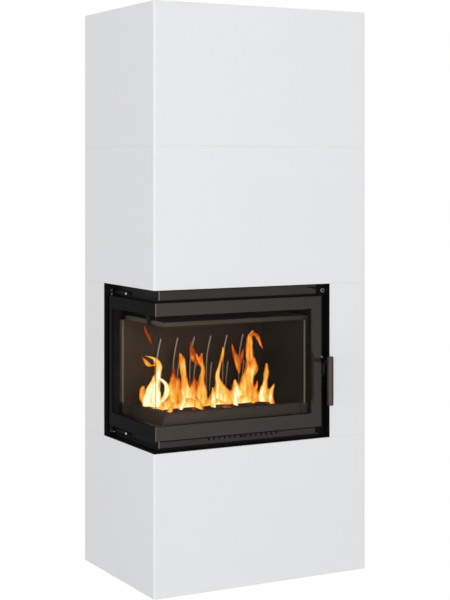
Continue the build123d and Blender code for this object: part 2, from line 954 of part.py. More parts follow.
def linings():
    """The loose fire-resistant slabs inside the body."""
    floor = body_floor + body_sheet
    gap = slide_clearance
    return {
        "back_lining": back_lining(),
        "corner_lining": block(filler_left, filler_right - gap, back_face, back_face + lining,
                               floor, lining_top),
        "right_lining": block(right_face + gap, right_face + lining - 2, right_lining_front,
                              back_face + lining, floor, lining_top),
        "front_lip": lip(True),
        "side_lip": lip(False),
        "hearth_slab": hearth_slab(),
        "lower_baffle": block(baffle_front, right_face + lining - 2, baffle_front, back_face + lining,
                              lining_top, lining_top + baffle_sheet),
        "upper_baffle": block(body_face + body_sheet + 3, body_right - body_sheet - 3,
                              body_face + body_sheet + 12, upper_baffle_back,
                              upper_baffle_z, upper_baffle_z + body_sheet),
    }


def baffle_hanger():
    """The bent strap that holds up the lower baffle's free corner."""
    wall = body_face + body_sheet
    foot = lining_top - hanger_sheet
    strap = baffle_front - hanger_gap
    high = upper_baffle_z - body_sheet * 2 - 4
    bend = foot + hanger_overlap
    outline = [
        (wall, high),
        (wall, high - hanger_overlap + 4),
        (strap, bend),
        (strap, foot),
        (baffle_front + hanger_overlap, foot),
        (baffle_front + hanger_overlap, lining_top),
        (strap + hanger_sheet, lining_top),
        (strap + hanger_sheet, bend + 2),
        (wall + hanger_sheet, high - hanger_overlap + 6),
        (wall + hanger_sheet, high),
    ]
    return upright_prism(outline, hanger_y, hanger_y + hanger_width)


def logs():
    """Two logs on the hearth and two laid across them."""
    pile = []
    low = hearth_top + log_radius
    front = back_face - log_front_inset
    back = back_face - log_back_inset
    left = filler_right + log_end_gap
    right = right_face - log_end_gap
    for y in (front, back):
        pile.append(bar_along_x(y, low, left, right, log_radius))
    high = hearth_top + 2 * log_radius + cross_log_radius
    for side, x in ((-1, left + (right - left) / 4), (1, right - (right - left) / 4)):
        place = Pos(x, (front + back) / 2, high) * Rot(0, 0, side * cross_log_turn) * Rot(90, 0, 0)
        pile.append(place * Cylinder(cross_log_radius, cross_log_length))
    return pile


# Stand below the insert

def leg_places():
    """The four legs' centres, under the corners of the body."""
    near = body_face + leg_inset + leg_size / 2
    xs = (near, body_right - leg_inset - leg_size / 2)
    ys = (near, body_back - leg_inset - leg_size / 2)
    return [(x, y) for x in xs for y in ys]


def stand_legs():
    """Four square tube legs, each with a plate at its foot and its head."""
    legs = []
    half = leg_size / 2
    for x, y in leg_places():
        tube = block(x - half, x + half, y - half, y + half, foot_travel, body_bottom)
        tube -= block(x - half + leg_sheet, x + half - leg_sheet, y - half + leg_sheet,
                      y + half - leg_sheet, foot_travel + leg_sheet, body_bottom + 1)
        hole = rod(x, y, foot_travel - 1, foot_travel + leg_sheet + 1, stud_radius + run_clearance)
        legs.append(tube - hole)
    return legs


def stand_feet():
    """Four levelling feet: a round pad, a nut and a stud in each leg."""
    feet = []
    for x, y in leg_places():
        foot = rod(x, y, 0, foot_sheet, foot_radius)
        foot += rod(x, y, foot_sheet, foot_travel + 30, stud_radius)
        feet.append(foot + Pos(x, y, foot_travel - 8) * extrude(RegularPolygon(13, 6), 8))
    return feet


def save(shape, name):
    """Move a piece to the part's own origin and write its file."""
    shift = Pos(-origin_x, -origin_y, 0)
    if isinstance(shape, list):
        placed = Compound(children=[shift * solid for solid in shape])
    else:
        placed = shift * shape
    export_step(placed, parts_folder + "/" + name + ".step")


def build():
    """Every node of the fireplace by name."""
    pieces = {}
    pieces.update(surround_boards())
    pieces.update(steel_frame())
    pieces["top_cover"] = top_cover()
    pieces.update(opening_trim())
    pieces["firebox_body"] = firebox_body()
    pieces["body_cover"] = body_cover()
    pieces["air_spigot"] = air_spigot()
    pieces["smoke_hood"] = smoke_hood()
    pieces["flue_collar"] = flue_collar()
    pieces["top_band"] = top_band()
    pieces["lower_panel_left"] = front_panel(body_face - 4, panel_seam_left)
    pieces["lower_panel_middle"] = notched_panel()
    pieces["lower_panel_right"] = front_panel(panel_seam_right, body_right)
    pieces["latch_stile"] = latch_stile()
    pieces["stile_bolt"] = stile_bolt()
    pieces["band_clip"] = band_clip()
    pieces["hinge_arms"] = hinge_arms()
    pieces["hinge_pins"] = hinge_pins()
    pieces["hinge_screws"] = hinge_screws()
    pieces["door_frame"] = door_frame()
    pieces["front_glass"] = front_glass()
    pieces["side_glass"] = side_glass()
    pieces["glass_tape"] = glass_tape()
    pieces["door_seal"] = seal_rope(rope_radius)
    pieces["latch_bracket"] = latch_bracket()
    pieces["handle_lever"] = handle_lever()
    pieces["handle_grip"] = handle_grip()
    pieces["air_slide"] = air_slide()
    pieces.update(linings())
    pieces["baffle_hanger"] = baffle_hanger()
    pieces["logs"] = logs()
    pieces["stand_legs"] = stand_legs()
    pieces["stand_feet"] = stand_feet()
    return pieces


os.makedirs(parts_folder, exist_ok=True)
for node_name, node_shape in build().items():
    save(node_shape, node_name)
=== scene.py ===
"""Looks for the corner fireplace: finishes for every piece, the fire, the logs and the small fittings."""

import json
import math

import bmesh
import bpy
from bpy.props import FloatProperty, FloatVectorProperty, IntProperty, PointerProperty
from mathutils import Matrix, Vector, noise


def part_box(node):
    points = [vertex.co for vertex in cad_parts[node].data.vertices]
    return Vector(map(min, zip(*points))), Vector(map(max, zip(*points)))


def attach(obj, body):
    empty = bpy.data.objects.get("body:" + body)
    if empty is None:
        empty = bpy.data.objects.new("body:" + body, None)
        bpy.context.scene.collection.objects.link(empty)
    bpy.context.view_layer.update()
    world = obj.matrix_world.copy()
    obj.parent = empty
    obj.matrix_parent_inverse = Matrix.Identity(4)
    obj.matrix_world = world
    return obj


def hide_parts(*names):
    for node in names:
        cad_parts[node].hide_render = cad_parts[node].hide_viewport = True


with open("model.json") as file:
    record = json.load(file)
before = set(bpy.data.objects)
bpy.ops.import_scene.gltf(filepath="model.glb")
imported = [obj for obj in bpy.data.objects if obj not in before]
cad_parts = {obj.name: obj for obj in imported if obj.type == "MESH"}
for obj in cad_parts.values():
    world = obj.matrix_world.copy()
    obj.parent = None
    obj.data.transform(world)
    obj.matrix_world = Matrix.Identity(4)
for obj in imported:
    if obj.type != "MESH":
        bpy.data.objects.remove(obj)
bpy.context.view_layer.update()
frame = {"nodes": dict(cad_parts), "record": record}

bl_info = {
    "name": "Corner Fireplace",
    "version": (1, 0, 0),
    "blender": (4, 5, 0),
    "location": "View3D > Sidebar > Fireplace",
    "description": "Builds the finishes, the fire and the small fittings of a corner fireplace",
    "category": "Object",
}

MM = 0.001


# Places read from the frame

def low(node):
    """The lowest corner of a node, in metres."""
    return Vector(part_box(node)[0])


def high(node):
    """The highest corner of a node, in metres."""
    return Vector(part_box(node)[1])


LEFT = low("base_board_left").x
FRONT = low("base_board_front").y
CORNER = Vector((LEFT, FRONT, 0))
DOOR_LOW = low("front_glass").z
DOOR_HIGH = high("front_glass").z
DOOR_RIGHT = high("front_glass").x
DOOR_REAR = high("side_glass").y
HEARTH = high("hearth_slab").z
LIP_TOP = high("front_lip").z


def at(x, y, z):
    """A point given in millimetres from the surround's front left corner on the floor."""
    return Vector((CORNER.x + x * MM, CORNER.y + y * MM, z * MM))


# Each flame: its depth, how cool it burns, and points of X, height and width in millimetres.
# Most X and height values were turned into millimetres by a scratch script, from points read
# off the photograph by eye; the widths, feet and tips, the low ones and the veils are by hand.
FLAMES = {
    "left_plume": (230, -0.35, [(117, 668, 44), (112, 712, 44), (121, 755, 26), (127, 793, 22),
                              (129, 824, 24), (119, 847, 24), (97, 860, 18), (76, 865, 6)]),
    "left_curl": (240, 0.3, [(126, 831, 14), (98, 824, 22), (79, 845, 18), (66, 862, 4)]),
    "left_horn": (215, -0.38, [(84, 676, 42), (78, 714, 36), (86, 744, 22), (97, 770, 13), (101, 790, 3)]),
    "left_low": (225, 0.18, [(78, 672, 30), (64, 706, 28), (60, 729, 26), (60, 748, 14), (72, 753, 4)]),
    "left_loop": (235, -0.38, [(128, 672, 20), (160, 702, 18), (170, 728, 20), (164, 751, 17),
                             (142, 772, 13), (128, 780, 6)]),
    "veil_left": (250, 0.28, [(216, 656, 76), (214, 708, 62), (208, 747, 42), (204, 778, 20),
                              (206, 808, 6)]),
    "horn_two": (240, 0.05, [(262, 656, 96), (257, 702, 62), (248, 733, 36), (244, 769, 23),
                             (240, 808, 24), (235, 843, 24), (227, 865, 8)]),
    "veil_three": (255, 0.3, [(291, 655, 90), (295, 709, 62), (293, 740, 32), (300, 766, 5)]),
    "horn_four": (240, 0.08, [(327, 650, 46), (318, 694, 40), (318, 725, 34), (323, 764, 20),
                              (325, 803, 15), (316, 830, 24), (323, 860, 8)]),
    "lobe_four": (245, 0.35, [(321, 812, 12), (308, 838, 16), (300, 860, 5)]),
    "wisp_three": (250, 0.62, [(308, 812, 5), (292, 839, 24), (284, 870, 19), (280, 908, 4)]),
    "thin_five": (240, 0.0, [(396, 650, 100), (403, 691, 66), (405, 723, 38), (394, 751, 20),
                              (392, 775, 13), (400, 806, 11), (412, 844, 12), (416, 880, 4)]),
    "horn_six": (235, -0.12, [(481, 640, 62), (476, 687, 58), (474, 719, 34), (467, 749, 6)]),
    "tall_seven": (245, 0.1, [(525, 636, 92), (523, 678, 76), (523, 714, 60), (532, 749, 48),
                              (545, 780, 50), (548, 808, 42), (539, 836, 30), (536, 868, 27),
                              (536, 900, 25), (543, 924, 17), (555, 937, 6)]),
    "tall_branch": (250, 0.6, [(542, 908, 14), (562, 926, 20), (580, 905, 18), (600, 862, 5)]),
    "fork_left": (255, 0.5, [(497, 768, 3), (494, 790, 16), (485, 827, 24), (474, 855, 18), (465, 886, 4)]),
    "fork_right": (255, 0.5, [(496, 770, 3), (495, 796, 12), (505, 829, 19), (515, 864, 5)]),
    "loop_eight": (240, -0.02, [(566, 642, 26), (545, 665, 14), (538, 692, 9), (553, 694, 11),
                              (565, 712, 13), (568, 736, 4)]),
    "horn_nine": (240, -0.1, [(598, 632, 40), (593, 674, 34), (600, 705, 25), (607, 737, 18),
                              (611, 769, 18), (614, 803, 6)]),
    "right_horn": (245, -0.08, [(631, 630, 26), (637, 666, 16), (637, 690, 17), (650, 718, 4)]),
    "front_one": (165, -0.3, [(181, 646, 10), (193, 663, 15), (202, 685, 17), (202, 708, 13),
                               (198, 737, 4)]),
    "front_two": (160, 0.2, [(140, 648, 26), (148, 671, 20), (157, 688, 4)]),
    "front_three": (165, 0.12, [(280, 643, 28), (271, 665, 30), (267, 684, 22), (256, 706, 4)]),
    "front_four": (170, -0.25, [(337, 641, 22), (335, 678, 17), (335, 706, 15), (335, 735, 4)]),
    "front_five": (170, -0.3, [(443, 641, 30), (434, 663, 17), (432, 695, 15), (429, 728, 5)]),
    "front_six": (180, 0.1, [(522, 642, 18), (518, 668, 17), (516, 690, 4)]),
    "low_left": (215, -0.1, [(150, 654, 90), (160, 672, 80), (166, 690, 20)]),
    "low_middle": (215, -0.1, [(250, 650, 130), (254, 668, 110), (250, 692, 24)]),
    "low_centre": (215, -0.15, [(367, 646, 150), (367, 664, 116), (358, 684, 20)]),
    "low_right": (215, -0.1, [(501, 642, 130), (501, 664, 100), (501, 686, 24)]),
    "veil_low_left": (262, 0.22, [(232, 640, 150), (234, 690, 110), (228, 735, 50), (232, 768, 8)]),
    "veil_low_middle": (262, 0.2, [(300, 636, 120), (296, 680, 90), (302, 720, 50), (308, 752, 8)]),
    "veil_low_centre": (262, 0.12, [(440, 634, 120), (436, 670, 90), (444, 700, 30), (440, 716, 6)]),
    "veil_low_right": (262, 0.15, [(556, 630, 130), (552, 668, 100), (560, 704, 40), (556, 726, 8)]),
    "veil_end": (262, 0.2, [(620, 628, 80), (622, 660, 60), (628, 690, 24), (630, 704, 6)]),
    "lick": (225, 0.7, [(98, 912, 4), (87, 934, 12), (76, 957, 12), (68, 983, 4)]),
}
# Painted shade in the air notches, in millimetres; the marks reach past the notches that are cut in the
# panel, and the gap shadow is a painted shadow line along the panels' top
NOTCH_FIRST = 248
NOTCH_PITCH = 22.7
NOTCH_GAPS = 13
NOTCH_REACH = 15.5 * MM
GAP_SHADOW = 6.2 * MM
FLAME_TURN = math.radians(28.33)
FLAME_SPREAD = 1.25
FLAME_DEPTH = 9 * MM


# Shader maths

class Wire:
    """One socket, with the sums and products that a material needs."""

    def __init__(self, shader, socket):
        self.shader = shader
        self.socket = socket

    def maths(self, operation, *values):
        return self.shader.add("ShaderNodeMath", {"operation": operation}, dict(enumerate(values)))["Value"]

    def __add__(self, other):
        return self.maths("ADD", self, other)

    def __radd__(self, other):
        return self.maths("ADD", other, self)

    def __sub__(self, other):
        return self.maths("SUBTRACT", self, other)

    def __rsub__(self, other):
        return self.maths("SUBTRACT", other, self)

    def __mul__(self, other):
        return self.maths("MULTIPLY", self, other)

    def __rmul__(self, other):
        return self.maths("MULTIPLY", other, self)

    def limited(self):
        """The value held between 0 and 1."""
        return self.maths("MINIMUM", self.maths("MAXIMUM", self, 0.0), 1.0)

    def step(self, edge, width):
        """A soft step from 0 to 1 round an edge."""
        return ((self - (edge - width / 2)) * (1.0 / width)).limited()


class Outputs:
    """The named outputs of a node, as wires."""

    def __init__(self, shader, node):
        self.shader = shader
        self.node = node

    def __getitem__(self, name):
        return Wire(self.shader, self.node.outputs[name])


class Shader:
    """One material or world and its nodes."""

    def __init__(self, name, kind="materials"):
        self.block = getattr(bpy.data, kind).new(name)
        self.block.use_nodes = True
        self.tree = self.block.node_tree
        self.tree.nodes.clear()

    @property
    def places(self):
        """The surface point in the object's own space."""
        return self.add("ShaderNodeTexCoord", {}, {})["Object"]

    def add(self, kind, settings, inputs):
        """Add a node, set it up, then give or link its inputs."""
        node = self.tree.nodes.new(kind)
        for key, value in settings.items():
            if key == "stops":
                ramp = node.color_ramp
                for index, (place, colour) in enumerate(value):
                    stop = ramp.elements[index] if index < 2 else ramp.elements.new(place)
                    stop.position = place
                    stop.color = (*colour, 1.0)
            else:
                setattr(node, key, value)
        for key, value in inputs.items():
            socket = node.inputs[key]
            if isinstance(value, Wire):
                self.tree.links.new(value.socket, socket)
            else:
                socket.default_value = value
        return Outputs(self, node)

    def grain(self, scale, detail=3.0, stretch=(1, 1, 1)):
        """A noise value in real sizes; scale is in cells for each metre."""
        places = self.add("ShaderNodeVectorMath", {"operation": "MULTIPLY"}, {0: self.places, 1: stretch})
        return self.add("ShaderNodeTexNoise", {}, {
            "Vector": places["Vector"], "Scale": scale, "Detail": detail})["Fac"]

    def blend(self, factor, first, second):
        """A colour between two colours."""
        node = self.add("ShaderNodeMix", {"data_type": "RGBA"}, {"Factor": factor})
        for index, value in ((6, first), (7, second)):
            socket = node.node.inputs[index]
            if isinstance(value, Wire):
                self.tree.links.new(value.socket, socket)
            else:
                socket.default_value = (*value[:3], 1.0)
        return Wire(self, node.node.outputs[2])

    def axis(self, letter):
        """One coordinate of the surface point, in metres."""
        return self.add("ShaderNodeSeparateXYZ", {}, {"Vector": self.places})[letter]

    def bump(self, height, strength, distance):
        """A normal from a height."""
        return self.add("ShaderNodeBump", {}, {
            "Height": height, "Strength": strength, "Distance": distance})["Normal"]

    def surface(self, **inputs):
        """The Principled shader at the end of the material."""
        named = {key.replace("_", " "): value for key, value in inputs.items()}
        shader = self.add("ShaderNodeBsdfPrincipled", {}, named)
        self.add("ShaderNodeOutputMaterial", {}, {"Surface": shader["BSDF"]})
        return self.block


def rgb(*values):
    """A linear colour from screen values between 0 and 255."""
    shares = [value / 255 for value in values]
    return tuple(v / 12.92 if v <= 0.04045 else ((v + 0.055) / 1.055) ** 2.4 for v in shares)


# Finishes

def board_finish(colour):
    """Smooth matt white paint on mineral board, with a faint roller texture."""
    s = Shader("matt_white_board")
    cloud = s.grain(3.0, 4.0)
    roller = s.grain(900.0, 2.0)
    tint = s.blend(cloud, tuple(0.985 * c for c in colour), colour)
    return s.surface(Base_Color=tint, Roughness=0.55 + 0.12 * cloud,
                     Normal=s.bump(roller, 0.12, 0.0004))


def painted_finish(name, colour, rough, grit=1400.0, gloss=0.5):
    """Heat-resistant paint: fine grit, slight dust and uneven gloss."""
    s = Shader(name)
    patches = s.grain(9.0, 5.0)
    fine = s.grain(grit, 2.0)
    tint = s.blend(patches, tuple(0.78 * c for c in colour), tuple(1.2 * c for c in colour))
    return s.surface(Base_Color=tint, Roughness=rough - 0.1 + 0.2 * patches,
                     Specular_IOR_Level=gloss, Normal=s.bump(fine, 0.25, 0.0003))


def band_finish():
    """Anthracite paint with a painted highlight on the cut left ends, painted shade in the air notches and
    a painted shadow line along the panels' top.
    """
    s = Shader("anthracite_paint")
    across, up = s.axis("X"), s.axis("Z")
    patches = s.grain(9.0, 5.0)
    fine = s.grain(1400.0, 2.0)
    tint = s.blend(patches, rgb(59, 55, 51), rgb(69, 65, 60))
    place = (across - at(NOTCH_FIRST, 0, 0).x) * (1.0 / (NOTCH_PITCH * MM))
    nearest = place - s.add("ShaderNodeMath", {"operation": "ROUND"}, {0: place})["Value"]
    apart = s.add("ShaderNodeMath", {"operation": "ABSOLUTE"}, {0: nearest})["Value"]
    row = (across.step(at(NOTCH_FIRST - 9, 0, 0).x, 0.001)
           * (1 - across.step(at(NOTCH_FIRST + NOTCH_GAPS * NOTCH_PITCH + 9, 0, 0).x, 0.001)))
    panel_top = high("lower_panel_middle").z
    low_part = 1 - up.step(panel_top + 0.004, 0.001)
    # Painted shade in the air notches, larger than the cut notches
    notch_shade = (1 - apart.step(0.18, 0.06)) * up.step(panel_top - NOTCH_REACH, 0.002) * row * low_part
    # A painted shadow line along the top of the lower panels, under the door's gap
    shade = up.step(panel_top - GAP_SHADOW, 0.002) * low_part
    dark = (notch_shade + shade).limited()
    # A painted highlight on the cut left ends of the bands
    pale_tone = 1 - across.step(at(41.6, 0, 0).x, 0.0008)
    tint = s.blend(dark, tint, rgb(6, 6, 6))
    tint = s.blend(pale_tone, tint, rgb(150, 144, 136))
    return s.surface(Base_Color=tint, Roughness=0.4 + 0.2 * patches, Specular_IOR_Level=0.16,
                     Normal=s.bump(fine, 0.25, 0.0003))


def bolt_finish():
    """A plated bolt head with a dark disc of painted shade where its socket is."""
    s = Shader("plated_bolt")
    centre = (low("stile_bolt") + high("stile_bolt")) / 2
    off_x = s.axis("X") - centre.x
    off_z = s.axis("Z") - centre.z
    away = s.add("ShaderNodeMath", {"operation": "SQRT"}, {0: off_x * off_x + off_z * off_z})["Value"]
    # Inside this radius the head is painted near black, as the shade in its socket
    rim = away.step(0.0046, 0.0008)
    turned = s.grain(600.0, 2.0)
    tint = s.blend(rim, rgb(8, 8, 8), rgb(138, 135, 131))
    return s.surface(Base_Color=tint, Metallic=0.3, Roughness=0.45 + 0.2 * turned, Specular_IOR_Level=0.3)


def galvanised_finish():
    """Zinc-coated sheet with its mottled flakes."""
    s = Shader("galvanised_sheet")
    flakes = s.add("ShaderNodeTexVoronoi", {}, {"Vector": s.places, "Scale": 130.0})["Color"]
    grey = s.add("ShaderNodeRGBToBW", {}, {"Color": flakes})["Val"]
    tint = s.blend(grey, (0.42, 0.43, 0.44), (0.58, 0.59, 0.6))
    return s.surface(Base_Color=tint, Metallic=1.0, Roughness=0.38 + 0.15 * grey)


def bright_finish():
    """Plated steel with fine turning marks."""
    s = Shader("bright_steel")
    rings = s.grain(700.0, 2.0)
    tint = s.blend(rings, (0.62, 0.62, 0.61), (0.8, 0.8, 0.79))
    return s.surface(Base_Color=tint, Metallic=1.0, Roughness=0.18 + 0.18 * rings)


def grip_finish():
    """Dark brushed metal, brushed along its length."""
    s = Shader("brushed_dark_grip")
    brush = s.grain(300.0, 4.0, (6, 6, 0.08))
    tint = s.blend(brush, rgb(56, 51, 49), rgb(86, 80, 77))
    return s.surface(Base_Color=tint, Metallic=0.75, Roughness=0.34 + 0.16 * brush,
                     Normal=s.bump(brush, 0.2, 0.0002))


def rope_finish():
    """Braided glass-fibre rope and tape."""
    s = Shader("braided_fibre")
    weave = s.add("ShaderNodeTexWave", {"wave_type": "BANDS", "bands_direction": "DIAGONAL"}, {
        "Vector": s.places, "Scale": 160.0, "Distortion": 2.0})["Fac"]
    tint = s.blend(weave, rgb(52, 50, 47), rgb(96, 93, 88))
    return s.surface(Base_Color=tint, Roughness=0.95, Normal=s.bump(weave, 0.7, 0.001))


def lining_finish(name, left, right, pale_tone):
    """Fire board: painted shade darkening it towards the right, darker towards the foot, paler along its
    front edges, with painted highlights on the ribs' left flanks, the baffle and the lips' fronts.
    """
    s = Shader(name)
    across, back, up = s.axis("X"), s.axis("Y"), s.axis("Z")
    along = ((across - at(60, 0, 0).x) * (1.0 / 0.62)).limited()
    rise = ((up - HEARTH) * (1.0 / 0.3)).limited()
    clouds = s.grain(7.0, 5.0)
    grains = s.grain(260.0, 3.0)
    # Painted shade darkens the board towards the right; it is also darker towards the foot and varies in
    # clouds
    shade = (along * 0.8 + (1 - rise) * 0.55 + (clouds - 0.5) * 0.5).limited()
    tint = s.blend(shade, left, right)
    speckled = s.blend(((grains - 0.4) * 0.4).limited(), tint, tuple(1.3 * c for c in left))
    normal = s.add("ShaderNodeNewGeometry", {}, {})["Normal"]
    facing = s.add("ShaderNodeSeparateXYZ", {}, {"Vector": normal})["X"]
    rib_zone = (1 - across.step(at(650, 0, 0).x, 0.002)) * across.step(at(150, 0, 0).x, 0.002)
    # Painted highlight on the ribs' left flanks, stronger higher up
    rib_flank_highlight = (facing * -1.0).step(0.5, 0.4) * (1 - back.step(at(0, 391, 0).y, 0.003)) * rib_zone
    rib_flank_highlight = rib_flank_highlight * back.step(at(0, 366, 0).y, 0.002) * (0.25 + 0.75 * rise)
    left_arris = 0.5 - 0.5 * across.step(at(59, 0, 0).x, 0.001)
    right_arris = across.step(at(679, 0, 0).x, 0.001)
    right_arris = right_arris * (0.45 - 0.45 * across.step(at(683, 0, 0).x, 0.001)) * 0.8
    right_arris = right_arris * (1 - back.step(at(0, 64, 0).y, 0.002))
    above_lips = up.step(LIP_TOP + 0.004, 0.002)
    edges = (left_arris + right_arris) * above_lips * (0.55 + grains * 0.5)
    # Painted highlight over the baffle and on the lips' fronts
    baffle = up.step(low("lower_baffle").z, 0.001) * 0.06
    lip_front_highlight = (1 - above_lips) * (1 - back.step(at(0, 100, 0).y, 0.004)) * 0.065
    pale_edges_and_highlights = (rib_flank_highlight + edges + baffle + lip_front_highlight).limited()
    return s.surface(Base_Color=s.blend(pale_edges_and_highlights, speckled, pale_tone), Roughness=0.86 + 0.1 * clouds,
                     Specular_IOR_Level=0.2, Normal=s.bump(grains, 0.12, 0.0003))


def glass_finish(name, axis, corner, far, border, print_and_reflection, gloss):
    """Clear glass with a printed border, its colours lightened by a painted reflection on the front pane;
    the clear part runs from the corner to far along one axis.
    """
    s = Shader(name)
    along = s.axis(axis)
    up = s.axis("Z")
    edge = 0.0012
    bottom, top = border
    clear = (1 - along.step(far, edge)) * up.step(bottom, edge) * (1 - up.step(top, edge))
    haze = s.grain(14.0, 4.0)
    run = ((along + 0.4) * 1.3 + (haze - 0.5) * 0.2).limited()
    # The print colour runs from the first to the second colour along the pane; on the front pane both are a
    # painted reflection over the black print
    print_and_reflection_tint = s.blend(run, print_and_reflection[0], print_and_reflection[1])
    polished = 1 - along.step(corner + 0.0022, 0.0004)
    print_and_reflection_tint = s.blend(polished * 0.5, print_and_reflection_tint, rgb(120, 114, 104))
    tint = s.blend(clear, print_and_reflection_tint, rgb(30, 28, 26))
    clear = clear * (1.0 - polished * 0.42)
    alpha = 1.0 - clear * 0.93 + clear * haze * 0.05
    return s.surface(Base_Color=tint, Roughness=0.06 + 0.03 * haze, Alpha=alpha,
                     Specular_IOR_Level=gloss)


def char_finish():
    """Charred split wood: black scales with ash on top and faint embers low in the cracks."""
    s = Shader("charred_wood")
    fibre = s.grain(70.0, 5.0, (0.25, 1.0, 1.0))
    scales = s.add("ShaderNodeTexVoronoi", {"feature": "DISTANCE_TO_EDGE"}, {
        "Vector": s.places, "Scale": 46.0})["Distance"]
    crack = (1 - scales * 14.0).limited()
    ash = s.grain(16.0, 4.0)
    tint = s.blend(fibre, rgb(16, 11, 9), rgb(46, 30, 21))
    tint = s.blend(((ash - 0.55) * 2.0).limited(), tint, rgb(84, 70, 62))
    ember = crack * (ash - 0.42) * 5.0
    heat = s.blend(ember.limited(), (0.012, 0.003, 0.001), (0.85, 0.12, 0.01))
    return s.surface(Base_Color=tint, Roughness=0.95, Emission_Color=heat, Emission_Strength=1.0,
                     Normal=s.bump(fibre + scales * 2.0, 0.9, 0.003))


def flame_finish():
    """Fire: pale yellow at the heart and the foot, orange at the rim and the tip, with frayed edges."""
    s = Shader("fire")
    heart = s.add("ShaderNodeAttribute", {"attribute_name": "heart"}, {})["Fac"]
    rise = s.add("ShaderNodeAttribute", {"attribute_name": "rise"}, {})["Fac"]
    cool = s.add("ShaderNodeAttribute", {"attribute_name": "cool"}, {})["Fac"]
    wisps = s.grain(48.0, 4.0, (1, 1, 0.3)) - 0.5
    streaks = s.grain(130.0, 3.0, (1, 1, 0.12)) - 0.5
    heat = (heart * 0.62 + 0.15 - rise * 0.46 - cool + wisps * 1.6 + streaks * 0.9).limited()
    ramp = s.add("ShaderNodeValToRGB", {"stops": [
        (0.0, (0.35, 0.04, 0.004)),
        (0.2, (0.8, 0.17, 0.012)),
        (0.42, (1.0, 0.36, 0.03)),
        (0.68, (1.1, 0.6, 0.11)),
        (0.86, (1.15, 0.86, 0.3)),
        (1.0, (1.3, 1.14, 0.74)),
    ]}, {"Fac": heat})["Color"]
    torn = (wisps * 1.6 + streaks * 1.3) * heart
    thin = (heart * heart * 1.5 - rise * 0.25 - cool * 0.3 + torn).limited()
    return s.surface(Base_Color=(0.0, 0.0, 0.0, 1.0), Roughness=1.0, Specular_IOR_Level=0.0,
                     Emission_Color=ramp, Emission_Strength=settings().fire.brightness, Alpha=thin)


# Making pieces

def mesh_piece(name, mesh_builder, body, material, smooth=True):
    """A mesh object made by a function that fills a bmesh, riding on a body."""
    shape = bmesh.new()
    mesh_builder(shape)
    bmesh.ops.recalc_face_normals(shape, faces=shape.faces)
    mesh = bpy.data.meshes.new(name)
    shape.to_mesh(mesh)
    shape.free()
    if smooth:
        mesh.shade_smooth()
    piece = bpy.data.objects.new(name, mesh)
    bpy.context.scene.collection.objects.link(piece)
    mesh.materials.append(material)
    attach(piece, body)
    return piece


def skin(shape, rings):
    """Join rings of points into a closed skin, with a face at each end."""
    rows = [[shape.verts.new(point) for point in ring] for ring in rings]
    count = len(rows[0])
    for near, far in zip(rows, rows[1:]):
        for index in range(count):
            after = (index + 1) % count
            shape.faces.new((near[index], near[after], far[after], far[index]))
    shape.faces.new(reversed(rows[0]))
    shape.faces.new(rows[-1])


def paint(nodes, material):
    """Give carried-over nodes one finish."""
    for node in nodes:
        thing = frame["nodes"][node]
        thing.data.materials.clear()
        thing.data.materials.append(material)


def nodes_of(slot):
    """The nodes that have this material slot."""
    return [part["node"] for part in frame["record"]["subparts"] if part["material_slot"] == slot]


# Settings that a user can change

class SurroundSettings(bpy.types.PropertyGroup):
    """Colours of the boards and the trim."""

    paint: FloatVectorProperty(
        name="Board paint", description="Colour of the white boards", subtype="COLOR",
        size=3, min=0, max=1, default=(0.80, 0.805, 0.815))
    trim: FloatVectorProperty(
        name="Trim paint", description="Colour of the black trim and the body", subtype="COLOR",
        size=3, min=0, max=1, default=(0.006, 0.006, 0.0065))


class DoorSettings(bpy.types.PropertyGroup):
    """Sizes of the printed border on the glass."""

    border_top: FloatProperty(
        name="Top border", description="Height of the printed border at the top of the glass",
        default=48 * MM, unit="LENGTH")
    border_bottom: FloatProperty(
        name="Bottom border", description="Height of the printed border at the foot of the glass",
        default=52.5 * MM, unit="LENGTH")
    border_end: FloatProperty(
        name="End border", description="Width of the printed border at the ends away from the corner",
        default=45.5 * MM, unit="LENGTH")


class FireSettings(bpy.types.PropertyGroup):
    """How the fire burns."""

    brightness: FloatProperty(
        name="Brightness", description="Strength of the light that the flames give", default=1.15, min=0)
    seed: IntProperty(
        name="Seed", description="Picks the sway of the flames and the bark of the logs", default=7)


class StageSettings(bpy.types.PropertyGroup):
    """Where the camera stands."""

    eye_x: FloatProperty(name="Eye X", description="Camera position across, from the corner",
                         default=-2.3767, unit="LENGTH")
    eye_y: FloatProperty(name="Eye Y", description="Camera position back, from the corner",
                         default=-4.9569, unit="LENGTH")
    eye_z: FloatProperty(name="Eye height", description="Camera height above the floor",
                         default=1.5745, unit="LENGTH")
    turn: FloatProperty(name="Turn", description="Camera's turn to the right of straight ahead",
                        default=math.radians(28.33), subtype="ANGLE")
    lens: FloatProperty(name="Lens", description="Focal length on a 36 mm sensor", default=89.86)
    horizon: FloatProperty(name="Horizon", description="Height of the horizon above the picture's middle",
                           default=0.2157)


def settings():
    """The scene's own settings."""
    return bpy.context.scene.fireplace


class FireplaceSettings(bpy.types.PropertyGroup):
    """All the settings of the fireplace."""

    surround: PointerProperty(type=SurroundSettings, name="Surround", description="The boards and the trim")
    door: PointerProperty(type=DoorSettings, name="Door", description="The glass door")
    fire: PointerProperty(type=FireSettings, name="Fire", description="The flames and the logs")
    stage: PointerProperty(type=StageSettings, name="Stage", description="The camera")


# Operators

class FIREPLACE_OT_surround(bpy.types.Operator):
    """Paint the boards, the steel frame behind them and the black trim"""

    bl_idname = "fireplace.surround"
    bl_label = "Surround"

    def execute(self, context):
        chosen = settings().surround
        paint(nodes_of("white_board"), board_finish(tuple(chosen.paint)))
        paint(nodes_of("galvanised_frame"), galvanised_finish())
        black = painted_finish("black_stove_paint", tuple(chosen.trim), 0.5, gloss=0.1)
        paint(nodes_of("black_steel"), black)
        return {"FINISHED"}


